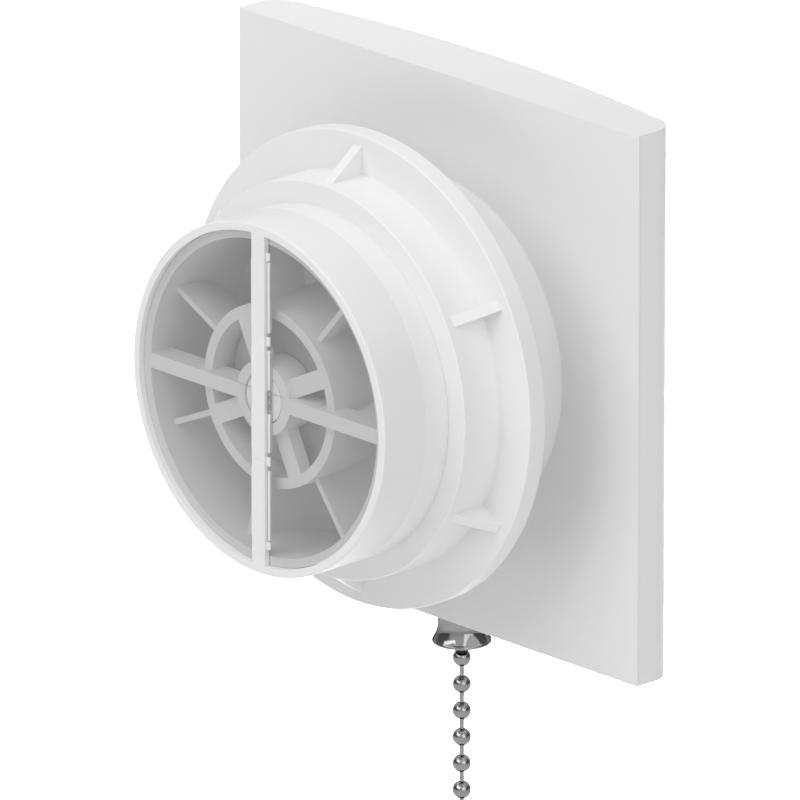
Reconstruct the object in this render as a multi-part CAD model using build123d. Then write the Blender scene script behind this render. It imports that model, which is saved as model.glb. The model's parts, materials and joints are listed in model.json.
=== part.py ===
from build123d import *
import math
import os

# Bathroom extractor fan with a wall collar, a two-flap back-draught shutter and a pull switch.
# Millimetres. +Y runs along the fan's axis towards the duct, -Y into the room, +Z is up.
# The origin is on the fan's axis, at the duct-side face of the wall collar.

# Driving dimensions: duct side
TUBE_R = 49.0            # outside of the duct spigot
TUBE_BORE = 46.6
NECK_R = 48.4            # tube behind the collar, 0.6 smaller so that the collar stops on it
MOUTH_Y = 23.5           # outlet rim
SEAM_Y = 8.2             # joint between the body's tube and the shutter frame
COLLAR_R = 55.2
COLLAR_BORE = 48.46
FLANGE_R = 66.2
FLANGE_FACE_Y = -13.5
FLANGE_BACK_Y = -19.4
GUSSET_COUNT = 6
GUSSET_THICK = 3.0
GUSSET_TIP_R = 63.0
GUSSET_LENGTH = 11.3

# Driving dimensions: room side
PANEL_HALF = 77.5
PANEL_BACK_Y = -42.5
CORNER_R = 7.5
NOSE_DEPTH = 20.6        # depth of the cover on its middle line
EDGE_DEPTH = 13.3        # depth of the bowed front where it would meet the side
COVER_WALL = 1.6
PLATE_THICK = 2.2
PLATE_RIM = 0.8          # thickness of the plate's rim, which laps over the cover's wall
PLATE_GAP = 0.1
NOTCH_HALF = 5.6         # half width of the cover's notch for the bell
GRILLE_R = 44.0
SLOT_PITCH = 6.6
SLOT_HEIGHT = 3.3
SLOT_TILT = 28

# Driving dimensions: air path
SLEEVE_R = 46.5
SLEEVE_BORE = 44.0
FRAME_Y = 21.6           # front plane of the sleeve, the hub and the main spokes
CORE_Y = 19.3            # front plane of the core tube and its four short spokes
SLEEVE_END_Y = -9.0
CORE_R = 25.4
CORE_BORE = 22.4
HUB_R = 10.3
HUB_BORE = 7.2
MAIN_SPOKE_WIDTH = 4.2
SHORT_SPOKE_WIDTH = 5.4
SHORT_SPOKE_ANGLE = 64
VANE_COUNT = 7
VANE_ANGLE = 27.5
VANE_THICK = 1.6
BLADE_COUNT = 7
BLADE_TIP_R = 44.2
CUP_R = 24.4
IMPELLER_BACK_Y = -13.6
IMPELLER_NOSE_Y = -35.0

# Driving dimensions: motor
CAN_R = 21.4
CAN_WALL = 1.2
CAN_BACK_Y = 12.0
CAN_SPLIT_Y = 0.0
CAN_FRONT_Y = -11.0
BOSS_R = 6.8
BOSS_Y = 21.45
SHAFT_R = 2.0
RUN_GAP = 0.04
BEARING_R = 4.6
CORE_HALF = 6.0          # half length of the stator's lamination pack
ROTOR_R = 11.7
POLE_COUNT = 4

# Driving dimensions: shutter
BAR_WIDTH = 5.0
BAR_BACK_Y = 21.75
MARK_R = 0.7             # round moulding marks on the bar
MARK_Z = (17.0, 43.4)
FLAP_R = 45.9
FLAP_BACK_Y = 21.75
FLAP_THICK = 0.8
HINGE_X = 3.15
HINGE_Y = 22.3
KNUCKLE_R = 0.5
PIN_R = 0.25
COIL_R = 0.46            # return spring on the pin
STRIP_WIDTH = 0.5        # hinge strip, from the pin's axis to the clear plate
LUG_R = 0.42
LUG_SPANS = ((15.6, 18.2), (39.6, 41.8))
STRIP_SPANS = ((-39.2, -19.4), (-14.4, -3.4), (3.4, 14.4), (19.4, 39.2))

# Driving dimensions: pull switch
CHAIN_Y = -51.9
BELL_RIM_Z = -86.0
BELL_R = 8.1
BELL_NECK_R = 5.0
BALL_R = 2.5
BALL_PITCH = 7.6
BALL_COUNT = 22
FIRST_BALL_Z = -91.2
LEVER_HUB_R = 3.0
LEVER_ARM = 9.6          # pivot to the tip under the rod's collar
LEVER_ANGLE = 146        # arm's direction at rest, from +X towards +Z
SWITCH_BACK_Y = -45.0
SWITCH_FRONT_Y = -59.0
SWITCH_TOP_Z = -51.0
SWITCH_BOTTOM_Z = -73.0
SWITCH_WALL = 1.4
SWITCH_X0 = -7.5
SWITCH_X1 = 15.5
LEVER_X = 8.4
LEVER_Z = -62.5
ROD_COLLAR_Z = -55.0

# Places of the electrical pieces on the back plate
CABLE_X = 60.0
CABLE_Z = -44.0
GROMMET_NECK_R = 5.2
CLAMP_Z = -53.5
CLAMP_SCREW_X = (53.5, 66.5)
TERMINAL = (24.0, 46.0, -53.0, -44.75, -72.0, -60.0)
TERMINAL_SCREW_X = (28.5, 35.0, 41.5)
CAPACITOR = (-50.0, -24.0, -56.0, -44.75, -72.0, -60.0)
LEAD_ANGLE = -60

# Worked out from the above
PLATE_FRONT_Y = PANEL_BACK_Y - PLATE_THICK
RIM_Y = PANEL_BACK_Y - PLATE_RIM
PLATE_HALF = PANEL_HALF - COVER_WALL - PLATE_GAP
SIDE_Y = PANEL_BACK_Y - EDGE_DEPTH
NOSE_Y = PANEL_BACK_Y - NOSE_DEPTH
POST_X = 66.0
POST_R = 4.2
PEG_R = 2.0
CHAIN_TOP_Z = BELL_RIM_Z + 1.0
CHAIN_END_Z = FIRST_BALL_Z - (BALL_COUNT - 1) * BALL_PITCH - BALL_R


def disc(radius, y0, y1, x=0.0, z=0.0):
    """A cylinder along Y."""
    return Pos(x, (y0 + y1) / 2, z) * Rot(90, 0, 0) * Cylinder(radius, abs(y1 - y0))


def ring(outer, inner, y0, y1, x=0.0, z=0.0):
    """A tube along Y."""
    return disc(outer, y0, y1, x, z) - disc(inner, min(y0, y1) - 1, max(y0, y1) + 1, x, z)


def upright(radius, z0, z1, x, y):
    """A cylinder along Z."""
    return Pos(x, y, (z0 + z1) / 2) * Cylinder(radius, abs(z1 - z0))


def block(x0, x1, y0, y1, z0, z1):
    """A box between two corners."""
    return Pos((x0 + x1) / 2, (y0 + y1) / 2, (z0 + z1) / 2) * Box(x1 - x0, abs(y1 - y0), z1 - z0)


def turned(shape, degrees):
    """A shape turned about the fan's axis, from +X towards +Z."""
    return Rot(0, -degrees, 0) * shape


def lathe(points, x=0.0, y=0.0):
    """A solid turned about a Z axis from (radius, z) points."""
    profile = make_face(Polyline([(r, 0, z) for r, z in points], close=True))
    return Pos(x, y, 0) * revolve(profile, axis=Axis.Z)


def round_edges(shape, radius, keep):
    """Rounds the edges that the test keeps."""
    return fillet([edge for edge in shape.edges() if keep(edge)], radius)


def save(name, *solids):
    """Writes one node; several solids become one group."""
    shape = solids[0] if len(solids) == 1 else Compound(children=list(solids))
    export_step(shape, f"parts/{name}.step")


def bowed_block(inset, back_y):
    """The cover's outer form: flat sides, a bowed front and rounded upright corners."""
    half = PANEL_HALF - inset
    side_y = SIDE_Y + inset
    nose_y = NOSE_Y + inset
    outline = Polyline((-half, side_y), (-half, back_y), (half, back_y), (half, side_y))
    front = ThreePointArc((half, side_y), (0, nose_y), (-half, side_y))
    solid = extrude(make_face([outline, front]), half, both=True)

    def is_corner(edge):
        middle = edge.center()
        return edge.geom_type == GeomType.LINE and abs(middle.Y - side_y) < 0.01 and abs(middle.Z) < 1

    return round_edges(solid, CORNER_R - inset, is_corner)


def slot_half_width(z):
    """Half the length of the grille slot at a height."""
    return math.sqrt(GRILLE_R ** 2 - z ** 2)


def make_front_cover():
    cover = bowed_block(0, RIM_Y - 0.02) - bowed_block(COVER_WALL, PANEL_BACK_Y + 2)
    slots = []
    rows = int((GRILLE_R - SLOT_HEIGHT) // SLOT_PITCH)
    for row in range(-rows, rows + 1):
        z = row * SLOT_PITCH
        length = 2 * slot_half_width(abs(z) + SLOT_HEIGHT / 2)
        slot = extrude(Plane.XZ * SlotOverall(length, SLOT_HEIGHT), 14, both=True)
        slots.append(Pos(0, NOSE_Y, z) * Rot(SLOT_TILT, 0, 0) * slot)
    front = bowed_block(0, RIM_Y)
    rib_end_y = NOSE_Y + 4.5
    ribs = [block(x - 0.8, x + 0.8, NOSE_Y + 1, rib_end_y, -GRILLE_R, GRILLE_R) for x in (-22, 0, 22)]
    cover = cover - slots
    cover = cover + [rib & front for rib in ribs]
    notch = block(-NOTCH_HALF, NOTCH_HALF, CHAIN_Y, PANEL_BACK_Y + 1, -PANEL_HALF - 1, -PANEL_HALF + 4)
    cover = cover - notch - upright(NOTCH_HALF, -PANEL_HALF - 1, -PANEL_HALF + 4, 0, CHAIN_Y)
    for x in (-POST_X, POST_X):
        for z in (-POST_X, POST_X):
            peg = disc(PEG_R, PLATE_FRONT_Y - 1.6, NOSE_Y + 6, x, z)
            collar = disc(PEG_R + 1.4, PLATE_FRONT_Y - 7.4, NOSE_Y + 6, x, z)
            cover = cover + ((peg + collar) & front)
    return cover


def make_fan_body():
    plate = block(-PLATE_HALF, PLATE_HALF, PLATE_FRONT_Y, PANEL_BACK_Y, -PLATE_HALF, PLATE_HALF)
    plate = plate + block(-PANEL_HALF, PANEL_HALF, RIM_Y, PANEL_BACK_Y, -PANEL_HALF, PANEL_HALF)
    half = NOTCH_HALF - PLATE_GAP
    tongue = block(-half, half, CHAIN_Y, PANEL_BACK_Y, -PANEL_HALF, -PANEL_HALF + COVER_WALL + 0.4)
    plate = plate + (tongue - upright(BELL_NECK_R + 0.1, -PANEL_HALF - 1, -PANEL_HALF + 4, 0, CHAIN_Y))
    tube = disc(NECK_R, PLATE_FRONT_Y, 0) + disc(TUBE_R, 0, SEAM_Y)
    body = plate + tube
    lip_r = 50.6
    body = body + disc(lip_r, PLATE_FRONT_Y - 2.2, PLATE_FRONT_Y)
    flare = 2.6
    body = body - disc(TUBE_BORE, PLATE_FRONT_Y - 5, SEAM_Y + 1)

    def is_inlet(edge):
        if edge.geom_type != GeomType.CIRCLE:
            return False
        return edge.center().Y < PLATE_FRONT_Y - 2 and 40 < edge.radius < 47

    body = round_edges(body, flare, is_inlet)
    for x in (-POST_X, POST_X):
        for z in (-POST_X, POST_X):
            body = body + disc(POST_R, PLATE_FRONT_Y - 5.2, PLATE_FRONT_Y, x, z)
            body = body - disc(PEG_R + 0.06, PLATE_FRONT_Y - 6, PLATE_FRONT_Y - 1.2, x, z)
    body = body - disc(GROMMET_NECK_R, PLATE_FRONT_Y - 1, PANEL_BACK_Y + 1, CABLE_X, CABLE_Z)
    for x in CLAMP_SCREW_X:
        body = body + disc(3.0, PLATE_FRONT_Y - 3, PLATE_FRONT_Y, x, CLAMP_Z)
        body = body - disc(1.3, PLATE_FRONT_Y - 4, PLATE_FRONT_Y + 1.2, x, CLAMP_Z)
    return body


def make_wall_collar():
    collar = disc(COLLAR_R, FLANGE_FACE_Y, 0) + disc(FLANGE_R, FLANGE_BACK_Y, FLANGE_FACE_Y)

    def is_outer_rim(edge):
        y = edge.center().Y
        on_flange = edge.geom_type == GeomType.CIRCLE and edge.radius > FLANGE_R - 0.1
        on_collar = edge.geom_type == GeomType.CIRCLE and abs(edge.radius - COLLAR_R) < 0.1 and y > -1
        return on_flange or on_collar

    collar = round_edges(collar, 0.5, is_outer_rim)
    for index in range(GUSSET_COUNT):
        root = COLLAR_R - 1.5
        web = make_face(Polyline(
            (root, FLANGE_FACE_Y - 1),
            (GUSSET_TIP_R, FLANGE_FACE_Y - 1),
            (GUSSET_TIP_R, FLANGE_FACE_Y + 0.6),
            (COLLAR_R - 0.2, FLANGE_FACE_Y + GUSSET_LENGTH),
            (root, FLANGE_FACE_Y + GUSSET_LENGTH),
            close=True,
        ))
        gusset = extrude(web, GUSSET_THICK / 2, both=True)
        collar = collar + turned(gusset, 30 + index * 360 / GUSSET_COUNT)
    return collar - disc(COLLAR_BORE, FLANGE_BACK_Y - 1, 1)


def make_collar_seal():
    """Foam ring in the flange's back face, which beds on the wall."""
    return ring(COLLAR_R + 6, COLLAR_R + 1, FLANGE_BACK_Y - 1.5, FLANGE_BACK_Y)


def hinge_positions():
    """Each flap's name, hinge X and the sign of its side."""
    return (("left", -HINGE_X, -1), ("right", HINGE_X, 1))


def make_shutter_frame():
    frame = ring(TUBE_R, TUBE_BORE, SEAM_Y, MOUTH_Y)

    def is_mouth(edge):
        if edge.geom_type != GeomType.CIRCLE:
            return False
        return abs(edge.center().Y - MOUTH_Y) < 0.01 and edge.radius > 48

    frame = round_edges(frame, 0.5, is_mouth)
    bore = disc(TUBE_BORE + 0.8, SEAM_Y, MOUTH_Y)
    bar = block(-BAR_WIDTH / 2, BAR_WIDTH / 2, BAR_BACK_Y, MOUTH_Y, -TUBE_BORE - 0.8, TUBE_BORE + 0.8)
    frame = frame + (bar & bore)
    for z in MARK_Z:
        for height in (-z, z):
            frame = frame - disc(MARK_R, MOUTH_Y - 0.12, MOUTH_Y + 1, 0, height)
    for side in (-1, 1):
        for low, high in LUG_SPANS:
            for z0, z1 in ((low, high), (-high, -low)):
                x0, x1 = sorted((side * (BAR_WIDTH / 2 - 0.2), side * HINGE_X))
                lug = block(x0, x1, BAR_BACK_Y, HINGE_Y + LUG_R, z0, z1)
                lug = lug + upright(LUG_R, z0, z1, side * HINGE_X, HINGE_Y)
                hole = upright(PIN_R, z0 - 1, z1 + 1, side * HINGE_X, HINGE_Y)
                frame = frame + (lug - hole)
    return frame


def strip_webs(hinge_x, side):
    """The flat part of a hinge strip: one bar to each span, with sloping ends."""
    webs = []
    for z0, z1 in STRIP_SPANS:
        outline = make_face(Polyline(
            (hinge_x, z0),
            (hinge_x + side * STRIP_WIDTH, z0 + STRIP_WIDTH),
            (hinge_x + side * STRIP_WIDTH, z1 - STRIP_WIDTH),
            (hinge_x, z1),
            close=True,
        ))
        flat = extrude(Plane.XZ * outline, FLAP_THICK / 2, both=True)
        webs.append(Pos(0, FLAP_BACK_Y + FLAP_THICK / 2, 0) * flat)
    return webs


def make_hinge_strip(hinge_x, side):
    """White strip along a flap's hinge edge, with the knuckles that turn on the pin."""
    pieces = []
    hole = upright(PIN_R + RUN_GAP, -50, 50, hinge_x, HINGE_Y)
    for web, (z0, z1) in zip(strip_webs(hinge_x, side), STRIP_SPANS):
        pieces.append(web + upright(KNUCKLE_R, z0, z1, hinge_x, HINGE_Y) - hole)
    return pieces


def make_flap(hinge_x, side):
    """Clear half-round plate, with the hinge strip moulded on along its straight edge."""
    outer = disc(FLAP_R, FLAP_BACK_Y, FLAP_BACK_Y + FLAP_THICK)
    reach = FLAP_R + 1
    x0, x1 = sorted((hinge_x + side * STRIP_WIDTH, side * reach))
    return outer & block(x0, x1, FLAP_BACK_Y - 1, MOUTH_Y, -reach, reach)


def make_flap_spring(hinge_x, side):
    """Torsion spring on the pin, between the flap's two middle knuckles, with one leg on the flap."""
    coil = upright(COIL_R, -3.0, 3.0, hinge_x, HINGE_Y) - upright(PIN_R + 0.06, -4, 4, hinge_x, HINGE_Y)
    x0, x1 = sorted((hinge_x, hinge_x + side * 6.5))
    leg_y = FLAP_BACK_Y + FLAP_THICK + 0.02
    leg = block(x0, x1, leg_y, leg_y + 0.2, 2.6, 2.8)
    return coil + leg


def make_guide_vane():
    """A curved plate that straightens the swirl; its outlet edge lies along the axis."""
    outlet_y = 16.5
    inlet_y = SLEEVE_END_Y + 3
    sweep = 9.0
    half = VANE_THICK / 2
    middle_y = (outlet_y + inlet_y) / 2
    one_side = ThreePointArc((-half, outlet_y), (1.6 - half, middle_y), (sweep - half, inlet_y))
    other_side = ThreePointArc((sweep + half, inlet_y), (1.6 + half, middle_y), (half, outlet_y))
    ends = [Line(one_side @ 1, other_side @ 0), Line(other_side @ 1, one_side @ 0)]
    section = make_face([one_side, ends[0], other_side, ends[1]])
    # The section is drawn with its X as the tangent and its Y along the fan's axis.
    plate = extrude(section, 60)
    plate = Rot(0, 90, 0) * plate
    return plate & ring(SLEEVE_BORE + 0.8, CORE_R - 0.8, -40, 40)


def make_guide_ring():
    """Outlet sleeve, guide vanes, core tube, spokes and motor hub, moulded in one."""
    sleeve = ring(SLEEVE_R, SLEEVE_BORE, SLEEVE_END_Y, FRAME_Y)
    core = ring(CORE_R, CORE_BORE, SLEEVE_END_Y, CORE_Y)
    hub = ring(HUB_R, HUB_BORE, CAN_BACK_Y + 0.6, FRAME_Y)
    body = sleeve + core + hub
    vane = make_guide_vane()
    for index in range(VANE_COUNT):
        body = body + turned(vane, VANE_ANGLE + index * 360 / VANE_COUNT)
    spoke_depth = 7.0
    half = MAIN_SPOKE_WIDTH / 2
    main = block(HUB_BORE + 1, SLEEVE_BORE + 1, FRAME_Y - spoke_depth, FRAME_Y, -half, half)
    half = SHORT_SPOKE_WIDTH / 2
    short = block(HUB_BORE + 1, CORE_BORE + 1, CORE_Y - 4.0, CORE_Y, -half, half)
    for side in (0, 180):
        body = body + turned(main, side)
    for quarter in range(4):
        body = body + turned(short, SHORT_SPOKE_ANGLE + 90 * quarter)
    return body - disc(HUB_BORE, CAN_BACK_Y, FRAME_Y + 1)


def make_motor_can_outlet():
    outer = disc(CAN_R, CAN_SPLIT_Y, CAN_BACK_Y) + disc(BOSS_R, CAN_BACK_Y, BOSS_Y)

    def is_boss_end(edge):
        return edge.geom_type == GeomType.CIRCLE and abs(edge.center().Y - BOSS_Y) < 0.01

    outer = round_edges(outer, 0.35, is_boss_end)
    hollow = disc(CAN_R - CAN_WALL, CAN_SPLIT_Y - 1, CAN_BACK_Y - CAN_WALL)
    seat = disc(BEARING_R, CAN_SPLIT_Y - 1, BOSS_Y - 1.2)
    return outer - hollow - seat


def make_motor_can_inlet():
    outer = disc(CAN_R, CAN_FRONT_Y, CAN_SPLIT_Y) + disc(BOSS_R, CAN_FRONT_Y - 1.8, CAN_FRONT_Y)
    hollow = disc(CAN_R - CAN_WALL, CAN_FRONT_Y + CAN_WALL, CAN_SPLIT_Y + 1)
    seat = disc(BEARING_R, CAN_FRONT_Y - 0.8, CAN_SPLIT_Y)
    way = disc(SHAFT_R + 1.0, CAN_FRONT_Y - 3, CAN_SPLIT_Y)
    return outer - hollow - seat - way


def make_stator_core():
    core = ring(CAN_R - CAN_WALL - 0.05, 16.6, -CORE_HALF, CORE_HALF)
    pole = block(ROTOR_R + 0.6, 17.2, -CORE_HALF, CORE_HALF, -2.6, 2.6)
    shoe = ring(13.6, ROTOR_R + 0.4, -CORE_HALF, CORE_HALF) & block(0, 30, -20, 20, -6.0, 6.0)
    for index in range(POLE_COUNT):
        core = core + turned(pole + shoe, 45 + index * 360 / POLE_COUNT)
    return core - disc(ROTOR_R + 0.4, -CORE_HALF - 1, CORE_HALF + 1)


def make_pole_pieces(grow_out, grow_in, x0, x1):
    """One box-shaped sleeve round each pole: a bobbin or its winding."""
    outer_y = CORE_HALF + grow_out
    outer_z = 2.6 + grow_out
    inner_y = CORE_HALF + grow_in
    inner_z = 2.6 + grow_in
    sleeve = block(x0, x1, -outer_y, outer_y, -outer_z, outer_z)
    sleeve = sleeve - block(x0 - 1, x1 + 1, -inner_y, inner_y, -inner_z, inner_z)
    return [turned(sleeve, 45 + index * 360 / POLE_COUNT) for index in range(POLE_COUNT)]


def make_blade():
    """One twisted blade: steep at the cup, flatter at the tip."""
    def section(radius, chord, pitch, camber):
        half = chord / 2
        thick = 0.9
        upper = ThreePointArc((-half, 0), (0, camber + thick), (half, 0))
        lower = ThreePointArc((half, 0), (0, camber - thick), (-half, 0))
        face = make_face([upper, lower])
        # local X runs along the chord, local Y is the suction side
        plane = Plane(origin=(radius, 0, 0), x_dir=(0, math.sin(pitch), math.cos(pitch)), z_dir=(1, 0, 0))
        return plane * face

    root = section(CUP_R - 1.2, 21, math.radians(52), 1.8)
    middle = section((CUP_R + BLADE_TIP_R) / 2, 24, math.radians(39), 1.9)
    tip = section(BLADE_TIP_R + 1, 27, math.radians(29), 2.0)
    blade = loft([root, middle, tip])
    centre_y = (IMPELLER_BACK_Y + IMPELLER_NOSE_Y) / 2
    blade = Pos(0, centre_y, 0) * blade
    keep = ring(BLADE_TIP_R, CUP_R - 1.0, IMPELLER_NOSE_Y + 1.0, IMPELLER_BACK_Y)
    return blade & keep


def make_impeller():
    nose_round = 7.0
    cup = disc(CUP_R, IMPELLER_NOSE_Y, IMPELLER_BACK_Y)

    def is_nose(edge):
        return edge.geom_type == GeomType.CIRCLE and abs(edge.center().Y - IMPELLER_NOSE_Y) < 0.01

    cup = round_edges(cup, nose_round, is_nose)
    hollow = disc(CUP_R - 1.6, IMPELLER_NOSE_Y + 8.5, IMPELLER_BACK_Y + 1)
    cup = cup - hollow
    cup = cup + disc(5.2, IMPELLER_NOSE_Y + 3, -16.5)
    blade = make_blade()
    for index in range(BLADE_COUNT):
        cup = cup + turned(blade, index * 360 / BLADE_COUNT)
    return cup - disc(SHAFT_R, -60, 0)


def make_bell():
    """Flared chrome bell that guides the chain, with a threaded neck in the switch housing."""
    rim = BELL_RIM_Z
    top = -PANEL_HALF - 0.15
    outer = [(BELL_NECK_R, SWITCH_BOTTOM_Z + 0.4), (BELL_NECK_R, top), (7.0, top)]
    outer += [(6.6, top - 1.4), (6.5, top - 2.8)]
    outer += [(6.7, top - 4.2), (7.2, top - 5.6), (7.8, top - 7.0), (BELL_R, rim + 0.6), (BELL_R, rim)]
    inner = [(7.7, rim - 0.5), (7.0, rim - 0.6), (6.0, rim + 1.2), (4.0, rim + 3.4), (1.9, rim + 4.4)]
    inner += [(1.9, SWITCH_BOTTOM_Z + 0.4)]
    return lathe(outer + inner, 0, CHAIN_Y)


def make_pull_rod():
    """Rod from the switch to the chain, with the collar that the return spring pushes up."""
    rod = upright(1.2, CHAIN_TOP_Z, SWITCH_TOP_Z - 2.4, 0, CHAIN_Y)
    collar = block(-2.5, 1.4, CHAIN_Y - 3.6, CHAIN_Y + 2.6, ROD_COLLAR_Z - 1.2, ROD_COLLAR_Z)
    return rod + collar


def make_switch_spring():
    """Envelope of the return spring, between the housing's floor and the rod's collar."""
    low = SWITCH_BOTTOM_Z + SWITCH_WALL
    high = ROD_COLLAR_Z - 1.2
    tube = upright(2.5, low, high, 0, CHAIN_Y) - upright(1.7, low - 1, high + 1, 0, CHAIN_Y)
    return tube


def make_switch_housing():
    shell = block(SWITCH_X0, SWITCH_X1, SWITCH_FRONT_Y + 1.2, SWITCH_BACK_Y, SWITCH_BOTTOM_Z, SWITCH_TOP_Z)
    hollow = block(
        SWITCH_X0 + SWITCH_WALL, SWITCH_X1 - SWITCH_WALL,
        SWITCH_FRONT_Y, SWITCH_BACK_Y - SWITCH_WALL,
        SWITCH_BOTTOM_Z + SWITCH_WALL, SWITCH_TOP_Z - SWITCH_WALL,
    )
    shell = shell - hollow
    shell = shell + upright(5.8, SWITCH_BOTTOM_Z - 2.2, SWITCH_BOTTOM_Z + 1, 0, CHAIN_Y)
    shell = shell - upright(1.55, SWITCH_BOTTOM_Z - 4, SWITCH_BOTTOM_Z + 3, 0, CHAIN_Y)
    shell = shell - upright(BELL_NECK_R, SWITCH_BOTTOM_Z - 4, SWITCH_BOTTOM_Z + 0.4, 0, CHAIN_Y)
    shell = shell + disc(1.4, SWITCH_FRONT_Y + 2.4, SWITCH_BACK_Y, LEVER_X, LEVER_Z)
    return shell


def make_switch_lever():
    """Rocker on the housing's pivot: one arm is under the rod's collar, one bridges the contacts."""
    front = SWITCH_FRONT_Y + 3.1
    arm_back = front + 1.2
    hub = disc(LEVER_HUB_R, front, SWITCH_BACK_Y - SWITCH_WALL - 0.3)
    arm = block(0, LEVER_ARM, front, arm_back, -0.6, 0.6)
    bridge = block(0, 4.9, front, front + 5.0, -0.7, 0.7)
    lever = hub + turned(arm, LEVER_ANGLE) + turned(bridge, -37)
    return Pos(LEVER_X, 0, LEVER_Z) * (lever - disc(1.4 + RUN_GAP, -90, 0))


def make_slotted_screw(x, z, head_y, head_r, shank_r, length):
    """Pan-head screw along Y with its head towards the room."""
    screw = disc(head_r, head_y, head_y + 1.3, x, z) + disc(shank_r, head_y + 1.3, head_y + length, x, z)
    return screw - block(x - 0.3, x + 0.3, head_y - 0.1, head_y + 0.6, z - head_r, z + head_r)


def make_terminal_block():
    body = block(*TERMINAL)
    front, z0, z1 = TERMINAL[2], TERMINAL[4], TERMINAL[5]
    for x in TERMINAL_SCREW_X:
        body = body - disc(1.95, front - 1, front + 3.4, x, (z0 + z1) / 2)
        body = body - disc(1.1, front + 3.0, front + 7.0, x, (z0 + z1) / 2)
        body = body - upright(1.4, z1 - 2.6, z1 + 1, x, front + 4.6)
    return body


def make_grommet():
    front = disc(6.6, PLATE_FRONT_Y - 1.6, PLATE_FRONT_Y, CABLE_X, CABLE_Z)
    neck = disc(GROMMET_NECK_R, PLATE_FRONT_Y, PANEL_BACK_Y - 0.1, CABLE_X, CABLE_Z)
    return front + neck - disc(3.2, PLATE_FRONT_Y - 3, PANEL_BACK_Y + 1, CABLE_X, CABLE_Z)


def make_cable_clamp():
    x0 = CLAMP_SCREW_X[0] - 3
    x1 = CLAMP_SCREW_X[1] + 3
    front = PLATE_FRONT_Y - 5
    bar = block(x0, x1, front, PLATE_FRONT_Y - 3, CLAMP_Z - 2.6, CLAMP_Z + 2.6)
    for x in CLAMP_SCREW_X:
        bar = bar - disc(1.4, front - 1, PLATE_FRONT_Y, x, CLAMP_Z)
    return bar


def make_motor_retainer():
    """Snap cap that closes the core tube behind the impeller, with a notch for the lead."""
    cap = ring(CORE_R, 8.0, CAN_FRONT_Y - 1.4, CAN_FRONT_Y)
    skirt = ring(CORE_R, CAN_R + 0.1, CAN_FRONT_Y, SLEEVE_END_Y - 0.05)
    notch = block(CAN_R - 1, CORE_R + 1, CAN_FRONT_Y - 1.0, SLEEVE_END_Y + 1, -1.1, 1.1)
    return cap + skirt - turned(notch, LEAD_ANGLE)


def make_motor_lead():
    """Lead from the terminal block over the inlet lip, along the tube's wall and in to the motor."""
    angle = math.radians(LEAD_ANGLE)
    wall_r = TUBE_BORE - 1.0

    def at(radius, y):
        return (radius * math.cos(angle), y, radius * math.sin(angle))

    over_y = PLATE_FRONT_Y - 4.2
    route = [(30.0, over_y + 0.6, TERMINAL[5]), (29.0, over_y, -52.0), at(wall_r, over_y - 0.4)]
    route += [at(wall_r, -10.9), at(CAN_R + 0.1, -10.4)]
    radii = [3.0, 2.4, 2.4]
    path = FilletPolyline(*route, radius=radii)
    start = Plane(origin=path @ 0, z_dir=path % 0)
    return sweep(start * Circle(0.75), path=path)


def make_knob():
    """Weighted pull at the chain's end."""
    top = CHAIN_END_Z
    outline = [(0, top), (2.2, top), (2.8, top - 0.8), (3.4, top - 4), (5.0, top - 11), (5.4, top - 14.5)]
    outline += [(5.0, top - 17), (3.4, top - 18.4), (0, top - 18.8)]
    return lathe(outline, 0, CHAIN_Y)


os.makedirs("parts", exist_ok=True)

save("front_cover", make_front_cover())
save("fan_body", make_fan_body())
save("wall_collar", make_wall_collar())
save("collar_seal", make_collar_seal())
save("shutter_frame", make_shutter_frame())
for side_name, hinge_x, side_sign in hinge_positions():
    save(f"flap_{side_name}", make_flap(hinge_x, side_sign))
    save(f"hinge_strip_{side_name}", *make_hinge_strip(hinge_x, side_sign))
    save(f"flap_pin_{side_name}", upright(PIN_R, -42.0, 42.0, hinge_x, HINGE_Y))
    save(f"flap_spring_{side_name}", make_flap_spring(hinge_x, side_sign))

save("guide_ring", make_guide_ring())
save("motor_bush", ring(HUB_BORE, BOSS_R, CAN_BACK_Y + 0.6, FRAME_Y - 3.4))
save("motor_can_outlet", make_motor_can_outlet())
save("motor_can_inlet", make_motor_can_inlet())
save("motor_retainer", make_motor_retainer())
save("bearing_outlet", ring(BEARING_R, SHAFT_R + RUN_GAP, 13.4, 18.4))
save("bearing_inlet", ring(BEARING_R, SHAFT_R + RUN_GAP, CAN_FRONT_Y - 0.8, CAN_FRONT_Y + 3.4))
save("stator_core", make_stator_core())
save("bobbins", *make_pole_pieces(0.6, 0.02, 13.8, 16.1))
save("windings", *make_pole_pieces(2.0, 0.62, 13.9, 15.8))
save("rotor", ring(ROTOR_R, SHAFT_R, -7.0, 7.0))
save("motor_shaft", disc(SHAFT_R, -37.0, 18.6))
save("impeller", make_impeller())
save("impeller_clip", ring(4.0, SHAFT_R, IMPELLER_NOSE_Y - 1.0, IMPELLER_NOSE_Y))
save("motor_lead", make_motor_lead())

save("switch_housing", make_switch_housing())
lid_y = SWITCH_FRONT_Y + 1.2
save("switch_lid", block(SWITCH_X0, SWITCH_X1, SWITCH_FRONT_Y, lid_y, SWITCH_BOTTOM_Z, SWITCH_TOP_Z))
save("switch_lever", make_switch_lever())
save("switch_spring", make_switch_spring())
contact_x = SWITCH_X1 - SWITCH_WALL
save("switch_contacts", *[
    block(contact_x - 0.8, contact_x, -56.0, -50.0, z, z + 3.0) for z in (-58.0, -70.0)
])
save("pull_rod", make_pull_rod())
save("chain_bell", make_bell())
save("pull_chain", upright(BALL_R, CHAIN_END_Z, CHAIN_TOP_Z, 0, CHAIN_Y))
save("pull_knob", make_knob())

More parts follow.
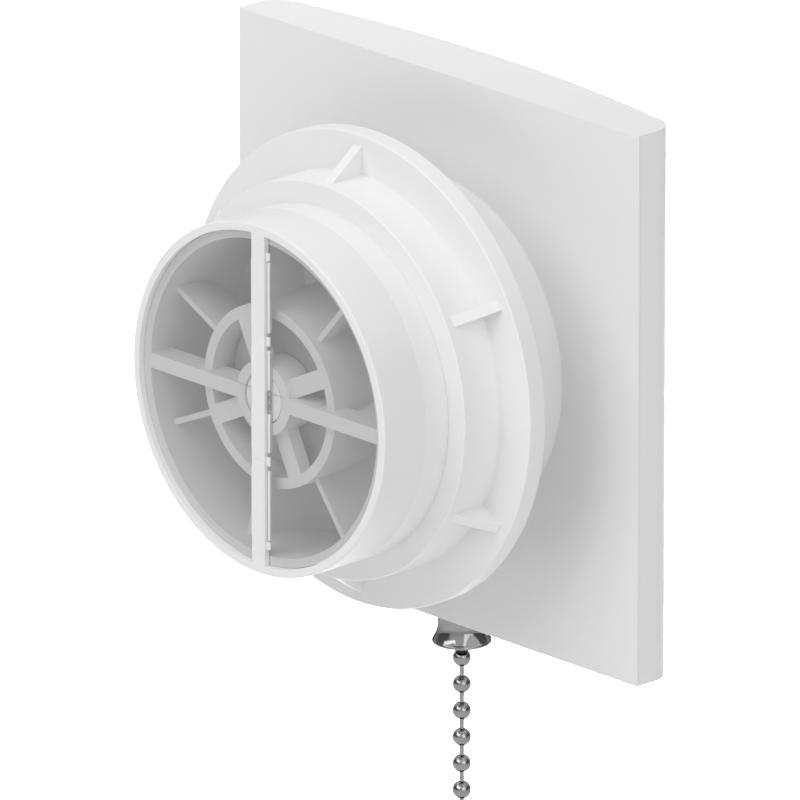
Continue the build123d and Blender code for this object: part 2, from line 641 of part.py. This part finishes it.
save("terminal_block", make_terminal_block())
terminal_z = (TERMINAL[4] + TERMINAL[5]) / 2
save("terminal_screws", *[
    make_slotted_screw(x, terminal_z, TERMINAL[2] + 0.6, 1.8, 1.1, 5.2) for x in TERMINAL_SCREW_X
])
save("run_capacitor", block(*CAPACITOR))
save("cable_grommet", make_grommet())
save("cable_clamp", make_cable_clamp())
save("clamp_screws", *[
    make_slotted_screw(x, CLAMP_Z, PLATE_FRONT_Y - 6.3, 2.4, 1.3, 6.6) for x in CLAMP_SCREW_X
])
wire_ends = ((SWITCH_X1, TERMINAL[0]), (CAPACITOR[1], SWITCH_X0))
save("internal_wires", *[
    Pos((a + b) / 2, -49.0, z) * Rot(0, 90, 0) * Cylinder(0.8, b - a)
    for a, b in wire_ends
    for z in (-70.0, -64.0)
])
print("bell neck to chain end", round(CHAIN_TOP_Z - CHAIN_END_Z, 1), "mm")
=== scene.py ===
import json
import math

import bmesh
import bpy
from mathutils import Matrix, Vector


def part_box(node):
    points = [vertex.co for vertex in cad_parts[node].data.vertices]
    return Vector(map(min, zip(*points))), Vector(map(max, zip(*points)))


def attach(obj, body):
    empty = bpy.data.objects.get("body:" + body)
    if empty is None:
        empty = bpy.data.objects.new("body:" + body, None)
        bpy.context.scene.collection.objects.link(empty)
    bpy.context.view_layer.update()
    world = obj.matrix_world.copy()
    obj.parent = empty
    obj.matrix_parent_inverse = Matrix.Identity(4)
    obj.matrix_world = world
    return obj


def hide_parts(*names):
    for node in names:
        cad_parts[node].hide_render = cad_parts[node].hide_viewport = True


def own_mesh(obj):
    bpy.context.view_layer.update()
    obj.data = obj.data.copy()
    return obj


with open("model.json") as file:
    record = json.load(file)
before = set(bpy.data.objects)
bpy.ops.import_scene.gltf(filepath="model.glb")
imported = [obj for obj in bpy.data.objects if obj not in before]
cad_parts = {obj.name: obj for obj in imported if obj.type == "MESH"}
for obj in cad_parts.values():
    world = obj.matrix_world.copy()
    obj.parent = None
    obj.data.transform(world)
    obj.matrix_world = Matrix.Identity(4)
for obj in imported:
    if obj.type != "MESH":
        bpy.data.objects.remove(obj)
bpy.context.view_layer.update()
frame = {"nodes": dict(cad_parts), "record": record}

MM = 0.001
SCENE = bpy.context.scene

# The camera: a long lens behind the fan, to its left as seen from the room, and above it.
CAMERA_AZIMUTH = math.radians(226.4)
CAMERA_ELEVATION = math.radians(18.85)
CAMERA_DISTANCE = 5.956
CAMERA_LENS = 1004.3
CAMERA_SENSOR = 36.0
MOUTH_LEFT_OF_CENTRE = 0.03789   # how far the outlet's centre lies left of the picture's centre

# The stage: a pale floor well below the fan, a white world with dark side walls, and three lamps.
FLOOR_Z = -0.62
FLOOR_HALF = 14
FLOOR_TONES = (0.79, 0.81)
WORLD_TOP = 0.68
WORLD_HORIZON = 0.54
WORLD_SIDES = 0.22
WORLD_RAMP = (0.05, 0.30)        # heights between which the horizon turns into the top
WORLD_WALLS = (0.72, 0.92)       # how far to the side the dark walls begin and are full
KEY_PLACE = (0.4, 2.5, 2.6)
KEY_SIZE = 3.4
KEY_POWER = 60
FILL_PLACE = (-2.6, 0.6, 0.9)
FILL_SIZE = 2.0
FILL_POWER = 12
BACKDROP_PLACE = (1.5, -1.45, 1.2)
BACKDROP_SIZE = 2.4
BACKDROP_POWER = 60
BACKDROP_SPREAD = 60

# The pull chain, which repeats the part's own figures: hollow balls on thin pins.
BALL_RADIUS = 2.5 * MM
BALL_PITCH = 7.6 * MM
BALL_COUNT = 22
BALL_HOLE = 0.95 * MM
BALL_STEPS = 14
LIP_RADIUS = 0.82 * BALL_HOLE    # the hole's edge is rolled inwards to this radius
LIP_DEPTH = 0.32 * MM
PIN_DEPTH = 0.55 * MM            # how far inside a ball its pin is joined to the lip
LINK_RADIUS = 0.62 * MM

# The bell's neck, and how far below the cover its flare starts.
BELL_NECK = 5.0 * MM
BELL_GAP = 0.15 * MM

# Wires of the coil springs.
SWITCH_WIRE = 0.32 * MM
SWITCH_TURNS = 8.5
FLAP_WIRE = 0.09 * MM
FLAP_COIL = 0.46 * MM
FLAP_TURNS = 14.25
FLAP_COIL_Z = (-2.8 * MM, 2.6 * MM)
FLAP_LEG_Z = 2.7 * MM
COIL_STEPS = 20                  # points on each turn of a coil

# The motor boss starts here, just clear of the can's end face; the faces beyond it get a painted
# highlight.
BOSS_FROM = 12.5 * MM


# ---------------------------------------------------------------- camera

def aim(thing, target):
    """Turns a camera or light to look at a point."""
    direction = Vector(target) - thing.location
    thing.rotation_mode = "QUATERNION"
    thing.rotation_quaternion = direction.to_track_quat("-Z", "Y")


def make_camera():
    """The photo's view, aimed beside the middle of the outlet."""
    camera = bpy.data.cameras.new("camera")
    camera.lens = CAMERA_LENS
    camera.sensor_width = CAMERA_SENSOR
    camera.clip_start = 0.1
    camera.clip_end = 100
    holder = bpy.data.objects.new("camera", camera)
    SCENE.collection.objects.link(holder)
    back = Vector((
        math.sin(CAMERA_AZIMUTH) * math.cos(CAMERA_ELEVATION),
        -math.cos(CAMERA_AZIMUTH) * math.cos(CAMERA_ELEVATION),
        math.sin(CAMERA_ELEVATION),
    ))
    right = (-back).cross(Vector((0, 0, 1))).normalized()
    mouth = Vector((0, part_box("shutter_frame")[1].y, 0))
    centre = mouth + right * MOUTH_LEFT_OF_CENTRE
    holder.location = centre + back * CAMERA_DISTANCE
    holder.rotation_mode = "QUATERNION"
    holder.rotation_quaternion = (-back).to_track_quat("-Z", "Y")
    SCENE.camera = holder


make_camera()


# ---------------------------------------------------------------- mesh helpers

def mesh_piece(name, bm):
    """Turns a bmesh in row-frame metres into an object."""
    bmesh.ops.recalc_face_normals(bm, faces=bm.faces)
    mesh = bpy.data.meshes.new(name)
    bm.to_mesh(mesh)
    bm.free()
    piece = bpy.data.objects.new(name, mesh)
    SCENE.collection.objects.link(piece)
    return piece


def smooth(piece, degrees):
    """Smooth shading, with edges sharper than that angle kept."""
    piece.data.set_sharp_from_angle(angle=math.radians(degrees))
    piece.data.polygons.foreach_set("use_smooth", [True] * len(piece.data.polygons))
    return piece


def add_lathe(bm, profile, x, y, segments):
    """Turns (radius, z) points round an upright axis; a radius of 0 closes the end."""
    rings = []
    for radius, z in profile:
        if radius < 1e-9:
            rings.append([bm.verts.new((x, y, z))])
            continue
        ring = []
        for step in range(segments):
            angle = 2 * math.pi * step / segments
            place = (x + radius * math.cos(angle), y + radius * math.sin(angle), z)
            ring.append(bm.verts.new(place))
        rings.append(ring)
    for lower, upper in zip(rings, rings[1:]):
        for step in range(segments):
            after = (step + 1) % segments
            corners = [lower[step % len(lower)], lower[after % len(lower)]]
            corners += [upper[after % len(upper)], upper[step % len(upper)]]
            unique = list(dict.fromkeys(corners))
            if len(unique) > 2:
                bm.faces.new(unique)


def middle(low, high):
    """The x and y of a box's middle, from its two corners."""
    return (low.x + high.x) / 2, (low.y + high.y) / 2


def curve_through(points, per_span):
    """A smooth line through (radius, z) points, as a Catmull-Rom curve."""
    found = []
    last = len(points) - 1
    for index in range(last):
        p0 = Vector(points[max(index - 1, 0)])
        p1 = Vector(points[index])
        p2 = Vector(points[index + 1])
        p3 = Vector(points[min(index + 2, last)])
        for step in range(per_span):
            t = step / per_span
            found.append(0.5 * (
                2 * p1 + (p2 - p0) * t + (2 * p0 - 5 * p1 + 4 * p2 - p3) * t ** 2
                + (3 * p1 - p0 - 3 * p2 + p3) * t ** 3
            ))
    found.append(Vector(points[-1]))
    return [tuple(p) for p in found]


# ---------------------------------------------------------------- the cord: pull chain and knob

def route_points(points):
    """Points along the smooth NURBS line of a cord's route."""
    curve = bpy.data.curves.new("route", "CURVE")
    curve.dimensions = "3D"
    curve.resolution_u = 24
    spline = curve.splines.new("NURBS")
    spline.points.add(len(points) - 1)
    for place, point in zip(spline.points, points):
        place.co = (*point, 1)
    spline.order_u = 3
    spline.use_endpoint_u = True
    holder = bpy.data.objects.new("route", curve)
    SCENE.collection.objects.link(holder)
    bpy.context.view_layer.update()
    graph = bpy.context.evaluated_depsgraph_get()
    mesh = bpy.data.meshes.new_from_object(holder.evaluated_get(graph))
    found = [vertex.co.copy() for vertex in mesh.vertices]
    bpy.data.objects.remove(holder)
    bpy.data.meshes.remove(mesh)
    return found


def ball_profile(centre):
    """A hollow ball's outline: round, with a rolled hole at each end."""
    start = math.asin(BALL_HOLE / BALL_RADIUS)
    inner = [(LINK_RADIUS, BALL_RADIUS - PIN_DEPTH), (LIP_RADIUS, BALL_RADIUS - LIP_DEPTH)]
    outline = [(radius, centre - rise) for radius, rise in inner]
    for step in range(BALL_STEPS + 1):
        angle = start + (math.pi - 2 * start) * step / BALL_STEPS
        outline.append((BALL_RADIUS * math.sin(angle), centre - BALL_RADIUS * math.cos(angle)))
    outline += [(radius, centre + rise) for radius, rise in reversed(inner)]
    return outline


def make_chain():
    """The ball chain: hollow balls on short pins, as one continuous turned form."""
    low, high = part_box("pull_chain")
    x, y = middle(low, high)
    route = [(x, y, high.z), (x, y, (low.z + high.z) / 2), (x, y, low.z)]
    profile = [(0, low.z), (LINK_RADIUS, low.z)]
    for index in range(BALL_COUNT):
        profile += ball_profile(low.z + BALL_RADIUS + index * BALL_PITCH)
    profile += [(LINK_RADIUS, high.z), (0, high.z)]
    bm = bmesh.new()
    add_lathe(bm, profile, x, y, 32)
    chain = smooth(mesh_piece("ball_chain", bm), 40)
    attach(chain, "pull")
    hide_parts("pull_chain")
    return chain, route_points(route), high, low


def make_knob():
    """The pull at the chain's end: a drop with a collar and two turned grooves."""
    low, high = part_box("pull_knob")
    x, y = middle(low, high)
    widest = (high.x - low.x) / 2
    height = high.z - low.z
    body = [(0.0, 0.0), (0.30, 0.012), (0.62, 0.03), (0.90, 0.10), (1.0, 0.23), (0.93, 0.40)]
    body += [(0.80, 0.55), (0.66, 0.70), (0.56, 0.80)]
    outline = [(r * widest, low.z + t * height) for r, t in curve_through(body, 6)]
    grooves = [(0.50, 0.81), (0.50, 0.83), (0.56, 0.84), (0.55, 0.87), (0.48, 0.88), (0.48, 0.90)]
    grooves += [(0.52, 0.91), (0.50, 0.95), (0.40, 0.99), (0.30, 1.0), (0.0, 1.0)]
    outline += [(r * widest, low.z + t * height) for r, t in grooves]
    bm = bmesh.new()
    add_lathe(bm, outline, x, y, 64)
    knob = smooth(mesh_piece("chain_pull", bm), 50)
    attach(knob, "pull")
    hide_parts("pull_knob")
    return knob


chain, chain_path, chain_top, chain_end = make_chain()
knob = make_knob()


# ---------------------------------------------------------------- materials

def new_material(name):
    """A node material, its tree and its Principled shader."""
    material = bpy.data.materials.new(name)
    material.use_nodes = True
    tree = material.node_tree
    return material, tree, tree.nodes["Principled BSDF"]


def object_coordinates(tree):
    """The row-frame coordinates that every texture here is laid out in."""
    return tree.nodes.new("ShaderNodeTexCoord").outputs["Object"]


def noise(tree, per_metre, detail):
    """Noise with that many features to the metre."""
    node = tree.nodes.new("ShaderNodeTexNoise")
    node.inputs["Scale"].default_value = per_metre
    node.inputs["Detail"].default_value = detail
    tree.links.new(object_coordinates(tree), node.inputs["Vector"])
    return node.outputs["Fac"]


def map_range(tree, value, low, high, to_low, to_high, kind="LINEAR"):
    """A value between low and high, mapped to another range."""
    node = tree.nodes.new("ShaderNodeMapRange")
    node.interpolation_type = kind
    node.inputs["From Min"].default_value = low
    node.inputs["From Max"].default_value = high
    node.inputs["To Min"].default_value = to_low
    node.inputs["To Max"].default_value = to_high
    tree.links.new(value, node.inputs["Value"])
    return node.outputs["Result"]


def vary(tree, per_metre, detail, low, high):
    """Noise spread over low to high, for a gloss that is not quite even."""
    return map_range(tree, noise(tree, per_metre, detail), 0.3, 0.7, low, high)


def two_tone(tree, value, dark, light):
    """A colour between two, by a 0 to 1 value."""
    node = tree.nodes.new("ShaderNodeMix")
    node.data_type = "RGBA"
    node.inputs["A"].default_value = (*dark, 1)
    node.inputs["B"].default_value = (*light, 1)
    tree.links.new(value, node.inputs["Factor"])
    return node.outputs["Result"]


def add_bump(tree, shader, height, strength, distance):
    """Bump from a height; distance is in metres."""
    node = tree.nodes.new("ShaderNodeBump")
    node.inputs["Strength"].default_value = strength
    node.inputs["Distance"].default_value = distance
    tree.links.new(height, node.inputs["Height"])
    tree.links.new(node.outputs["Normal"], shader.inputs["Normal"])


def scaled(colour, factor):
    """A colour made lighter or darker."""
    return tuple(min(1.0, c * factor) for c in colour)


def moulded_plastic(name, colour, rough, mottling=0.015):
    """Moulded plastic: fine spark grain, with slow changes of tone and gloss."""
    material, tree, shader = new_material(name)
    tone = noise(tree, 38, 3)
    tree.links.new(
        two_tone(tree, tone, scaled(colour, 1 - mottling), scaled(colour, 1 + mottling)),
        shader.inputs["Base Color"],
    )
    tree.links.new(vary(tree, 240, 4, rough - 0.04, rough + 0.05), shader.inputs["Roughness"])
    shader.inputs["IOR"].default_value = 1.5
    shader.inputs["Specular IOR Level"].default_value = 0.4
    add_bump(tree, shader, noise(tree, 2600, 2), 0.06, 0.04 * MM)
    return material


def clear_plastic(name):
    """Clear sheet with a faint grey tint and fine flow streaks."""
    material, tree, shader = new_material(name)
    tone = noise(tree, 60, 2)
    tint = two_tone(tree, tone, (0.58, 0.58, 0.582), (0.64, 0.64, 0.642))
    tree.links.new(tint, shader.inputs["Base Color"])
    tree.links.new(vary(tree, 320, 3, 0.10, 0.18), shader.inputs["Roughness"])
    shader.inputs["IOR"].default_value = 1.59
    shader.inputs["Alpha"].default_value = 0.17
    add_bump(tree, shader, noise(tree, 90, 1), 0.04, 0.2 * MM)
    material.surface_render_method = "BLENDED"
    return material


def metal(name, colour, rough, streak=0.03, grain=0.03, edge=1.0):
    """Bare or plated metal with fine variation of its gloss; edge darkens its glancing shine."""
    material, tree, shader = new_material(name)
    tone = noise(tree, 400, 3)
    tree.links.new(
        two_tone(tree, tone, scaled(colour, 0.93), scaled(colour, 1.05)),
        shader.inputs["Base Color"],
    )
    shader.inputs["Metallic"].default_value = 1.0
    shader.inputs["Specular Tint"].default_value = (edge, edge, edge, 1)
    tree.links.new(
        vary(tree, 900, 4, max(0.02, rough - streak), rough + streak),
        shader.inputs["Roughness"],
    )
    add_bump(tree, shader, noise(tree, 3000, 2), grain, 0.03 * MM)
    return material


def banded(name, colour_a, colour_b, per_metre, direction, metallic, rough, depth):
    """Fine parallel bands, such as laminations or the turns of a winding."""
    material, tree, shader = new_material(name)
    wave = tree.nodes.new("ShaderNodeTexWave")
    wave.bands_direction = direction
    wave.inputs["Scale"].default_value = per_metre
    wave.inputs["Distortion"].default_value = 0.4
    wave.inputs["Detail"].default_value = 1.0
    tree.links.new(object_coordinates(tree), wave.inputs["Vector"])
    bands = two_tone(tree, wave.outputs["Fac"], colour_a, colour_b)
    tree.links.new(bands, shader.inputs["Base Color"])
    shader.inputs["Metallic"].default_value = metallic
    shader.inputs["Roughness"].default_value = rough
    add_bump(tree, shader, wave.outputs["Fac"], 0.5, depth)
    return material


def soft_material(name, colour, rough, cells_per_metre, strength):
    """Rubber or foam: a matt skin with fine pits."""
    material, tree, shader = new_material(name)
    pits = tree.nodes.new("ShaderNodeTexVoronoi")
    pits.inputs["Scale"].default_value = cells_per_metre
    tree.links.new(object_coordinates(tree), pits.inputs["Vector"])
    tree.links.new(
        two_tone(tree, noise(tree, 300, 3), scaled(colour, 0.8), scaled(colour, 1.15)),
        shader.inputs["Base Color"],
    )
    shader.inputs["Roughness"].default_value = rough
    add_bump(tree, shader, pits.outputs["Distance"], strength, 0.1 * MM)
    return material


MATERIALS = {
    "white_gloss": moulded_plastic("white_gloss", (0.86, 0.86, 0.86), 0.36),
    "white_satin": moulded_plastic("white_satin", (0.765, 0.765, 0.765), 0.46),
    "clear_plastic": clear_plastic("clear_plastic"),
    "frosted_plastic": moulded_plastic("frosted_plastic", (0.82, 0.82, 0.82), 0.4, mottling=0.03),
    "foam": soft_material("foam", (0.10, 0.10, 0.105), 0.9, 2500, 0.6),
    "steel": metal("steel", (0.55, 0.56, 0.57), 0.26),
    "chrome": metal("chrome", (0.40, 0.40, 0.405), 0.08, streak=0.02, grain=0.01, edge=0.12),
    "motor_metal": moulded_plastic("motor_metal", (0.42, 0.42, 0.43), 0.3, mottling=0.05),
    "laminations": banded(
        "laminations", (0.16, 0.16, 0.17), (0.34, 0.34, 0.35), 320, "Y", 0.9, 0.45, 0.1 * MM,
    ),
    "copper": banded(
        "copper", (0.42, 0.14, 0.05), (0.75, 0.30, 0.13), 700, "DIAGONAL", 0.8, 0.32, 0.2 * MM,
    ),
    "brass": metal("brass", (0.70, 0.50, 0.22), 0.30),
    "black_plastic": moulded_plastic("black_plastic", (0.028, 0.028, 0.030), 0.42, mottling=0.1),
    "rubber": soft_material("rubber", (0.03, 0.03, 0.03), 0.75, 3000, 0.2),
    "grey_wire": moulded_plastic("grey_wire", (0.30, 0.30, 0.31), 0.5, mottling=0.05),
}
# A painted highlight: a near-white copy of the plastic for the motor boss, standing in for the
# shine the boss catches.
BOSS_PAINTED_HIGHLIGHT = moulded_plastic("motor_boss_painted_highlight", (0.95, 0.95, 0.955), 0.3)
SLOT_OF = {row["node"]: row["material_slot"] for row in frame["record"]["subparts"]}


def paint(piece, slot):
    """Gives a piece its one material."""
    piece.data.materials.clear()
    piece.data.materials.append(MATERIALS[slot])
    return piece


# ---------------------------------------------------------------- CAD nodes that stay

# How far each node's edges are rounded, in millimetres; the small pieces less than the rest.
EDGE_RADIUS = {
    "front_cover": 0.15,
    "fan_body": 0.15,
    "wall_collar": 0.35,
    "guide_ring": 0.25,
    "impeller": 0.25,
    "motor_can_outlet": 0.3,
    "motor_can_inlet": 0.3,
    "flap_left": 0.06,
    "flap_right": 0.06,
    "hinge_strip_left": 0.06,
    "hinge_strip_right": 0.06,
    "flap_pin_left": 0.05,
    "flap_pin_right": 0.05,
    "motor_lead": 0.1,
    "internal_wires": 0.1,
    "terminal_screws": 0.1,
    "clamp_screws": 0.15,
    "impeller_clip": 0.15,
    "switch_contacts": 0.1,
}
USUAL_EDGE = 0.2


def soften_edges(node, radius):
    """Welds a CAD mesh, drops the lines across its flat faces and rounds its edges."""
    weld = node.modifiers.new("weld", "WELD")
    weld.merge_threshold = 0.002 * MM
    flat = node.modifiers.new("flat", "DECIMATE")
    flat.decimate_type = "DISSOLVE"
    flat.angle_limit = math.radians(0.6)
    bevel = node.modifiers.new("bevel", "BEVEL")
    bevel.width = radius * MM
    bevel.segments = 3
    bevel.limit_method = "ANGLE"
    bevel.angle_limit = math.radians(28)


def dress_cad_nodes():
    """Gives every CAD node that stays its material and its softened edges."""
    for name, node in frame["nodes"].items():
        soften_edges(node, EDGE_RADIUS.get(name, USUAL_EDGE))
        paint(node, SLOT_OF[name])


def paint_boss_highlight():
    """Paints a highlight on the boss on the outlet side of the motor can, as a near-white material
    on its faces; the rest of the can is grey.
    """
    can = frame["nodes"]["motor_can_outlet"].data
    can.materials.append(BOSS_PAINTED_HIGHLIGHT)
    # Faces past BOSS_FROM get the painted highlight.
    for face in can.polygons:
        if face.center.y > BOSS_FROM:
            face.material_index = 1


# ---------------------------------------------------------------- bell and springs

def make_bell():
    """The flared bell that guides the chain, thin at its rim and hollow underneath."""
    low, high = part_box("chain_bell")
    x, y = middle(low, high)
    rim = (high.x - low.x) / 2
    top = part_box("front_cover")[0].z - BELL_GAP
    drop = top - low.z
    flare = [(0.865, 1.0), (0.84, 0.90), (0.812, 0.76), (0.805, 0.62), (0.825, 0.46)]
    flare += [(0.875, 0.30), (0.95, 0.15), (0.99, 0.09), (1.0, 0.05), (0.985, 0.015)]
    flare += [(0.95, 0.0), (0.91, 0.012)]
    under = [(0.88, 0.05), (0.80, 0.15), (0.66, 0.27), (0.48, 0.38), (0.30, 0.45), (0.235, 0.48)]
    outline = [(BELL_NECK, high.z), (BELL_NECK, top)]
    outline += [(r * rim, low.z + t * drop) for r, t in curve_through(flare + under, 5)]
    outline += [(0.235 * rim, high.z), (BELL_NECK, high.z)]
    bm = bmesh.new()
    add_lathe(bm, outline, x, y, 96)
    bmesh.ops.remove_doubles(bm, verts=bm.verts, dist=1e-7)
    bell = smooth(mesh_piece("bell", bm), 40)
    paint(bell, "chrome")
    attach(bell, "base")
    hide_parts("chain_bell")


def add_tube(bm, path, radius, sides):
    """A round tube along a list of points, with flat ends."""
    rings = []
    side = None
    for index, point in enumerate(path):
        before = path[max(index - 1, 0)]
        after = path[min(index + 1, len(path) - 1)]
        along = (after - before).normalized()
        if side is None:
            side = along.orthogonal().normalized()
        side = (side - along * side.dot(along)).normalized()
        other = along.cross(side)
        ring = []
        for step in range(sides):
            angle = 2 * math.pi * step / sides
            spoke = side * math.cos(angle) + other * math.sin(angle)
            ring.append(bm.verts.new(point + spoke * radius))
        rings.append(ring)
    for first, second in zip(rings, rings[1:]):
        for step in range(sides):
            after = (step + 1) % sides
            bm.faces.new((first[step], first[after], second[after], second[step]))
    bm.faces.new(rings[0][::-1])
    bm.faces.new(rings[-1])


def helix(x, y, z0, z1, radius, turns):
    """Points of an upright coil."""
    count = int(turns * COIL_STEPS)
    found = []
    for step in range(count + 1):
        angle = 2 * math.pi * step / COIL_STEPS
        z = z0 + (z1 - z0) * step / count
        found.append(Vector((x + radius * math.cos(angle), y + radius * math.sin(angle), z)))
    return found


def make_switch_spring():
    """The pull switch's return spring, which closes up as the chain is pulled."""
    low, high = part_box("switch_spring")
    x, y = middle(low, high)
    coil = (high.x - low.x) / 2 - SWITCH_WIRE
    bm = bmesh.new()
    turns = helix(x, y, low.z + SWITCH_WIRE, high.z - SWITCH_WIRE, coil, SWITCH_TURNS)
    add_tube(bm, turns, SWITCH_WIRE, 8)
    spring = smooth(mesh_piece("return_spring", bm), 60)
    paint(spring, "steel")
    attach(spring, "base")
    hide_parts("switch_spring")
    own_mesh(spring)


def make_flap_spring(side):
    """A torsion spring on a flap's pin, with one leg lying on the flap."""
    name = f"flap_spring_{side}"
    low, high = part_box(name)
    pin_low, pin_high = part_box(f"flap_pin_{side}")
    x, y = middle(pin_low, pin_high)
    coil = FLAP_COIL - FLAP_WIRE
    outwards = 1 if side == "right" else -1
    reach = high.x if side == "right" else low.x
    path = helix(x, y, *FLAP_COIL_Z, coil, FLAP_TURNS)
    leg_y = high.y - FLAP_WIRE
    path.append(Vector((x + outwards * 0.8 * MM, leg_y, FLAP_LEG_Z)))
    path.append(Vector((reach - outwards * 0.2 * MM, leg_y, FLAP_LEG_Z)))
    bm = bmesh.new()
    add_tube(bm, path, FLAP_WIRE, 6)
    spring = smooth(mesh_piece(f"torsion_spring_{side}", bm), 60)
    paint(spring, "steel")
    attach(spring, f"flap_{side}")
    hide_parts(name)


# ---------------------------------------------------------------- stage

def make_floor():
    """The plain pale floor."""
    bm = bmesh.new()
    bmesh.ops.create_grid(bm, x_segments=1, y_segments=1, size=FLOOR_HALF)
    bmesh.ops.translate(bm, verts=bm.verts, vec=(0, 0, FLOOR_Z))
    floor = mesh_piece("floor", bm)
    material, tree, shader = new_material("floor")
    dark, light = [(tone, tone, tone) for tone in FLOOR_TONES]
    tree.links.new(two_tone(tree, noise(tree, 0.6, 2), dark, light), shader.inputs["Base Color"])
    shader.inputs["Roughness"].default_value = 0.9
    shader.inputs["Specular IOR Level"].default_value = 0.1
    floor.data.materials.append(material)


def make_light(name, place, target, size, power, spread=180):
    """A square soft lamp that looks at a point; its spread is in degrees."""
    light = bpy.data.lights.new(name, "AREA")
    light.size = size
    light.energy = power
    light.spread = math.radians(spread)
    holder = bpy.data.objects.new(name, light)
    holder.location = place
    SCENE.collection.objects.link(holder)
    aim(holder, target)


def make_world():
    """A soft white studio, darker along its horizon and with a dark wall at either side."""
    world = bpy.data.worlds.new("studio")
    world.use_nodes = True
    tree = world.node_tree
    direction = tree.nodes.new("ShaderNodeTexCoord").outputs["Generated"]
    split = tree.nodes.new("ShaderNodeSeparateXYZ")
    tree.links.new(direction, split.inputs[0])
    height = map_range(tree, split.outputs["Z"], *WORLD_RAMP, WORLD_HORIZON, WORLD_TOP)
    across = tree.nodes.new("ShaderNodeVectorMath")
    across.operation = "DOT_PRODUCT"
    across.inputs[1].default_value = (math.cos(CAMERA_AZIMUTH), math.sin(CAMERA_AZIMUTH), 0)
    tree.links.new(direction, across.inputs[0])
    either = tree.nodes.new("ShaderNodeMath")
    either.operation = "ABSOLUTE"
    tree.links.new(across.outputs["Value"], either.inputs[0])
    walls = map_range(tree, either.outputs[0], *WORLD_WALLS, 1.0, WORLD_SIDES, "SMOOTHSTEP")
    both = tree.nodes.new("ShaderNodeMath")
    both.operation = "MULTIPLY"
    tree.links.new(height, both.inputs[0])
    tree.links.new(walls, both.inputs[1])
    tree.links.new(both.outputs[0], tree.nodes["Background"].inputs["Strength"])
    tree.nodes["Background"].inputs["Color"].default_value = (1, 1, 1, 1)
    SCENE.world = world


def make_stage():
    """Floor, world and lamps."""
    make_floor()
    make_world()
    make_light("key", KEY_PLACE, (0, 0, 0), KEY_SIZE, KEY_POWER)
    make_light("fill", FILL_PLACE, (0, 0, 0), FILL_SIZE, FILL_POWER)
    x, y = BACKDROP_PLACE[:2]
    make_light(
        "backdrop", BACKDROP_PLACE, (x, y, FLOOR_Z), BACKDROP_SIZE, BACKDROP_POWER, BACKDROP_SPREAD,
    )
    SCENE.view_settings.view_transform = "Standard"


paint(chain, "chrome")
paint(knob, "chrome")
dress_cad_nodes()
# The motor boss gets a painted highlight.
paint_boss_highlight()
make_bell()
make_switch_spring()
make_flap_spring("left")
make_flap_spring("right")
make_stage()
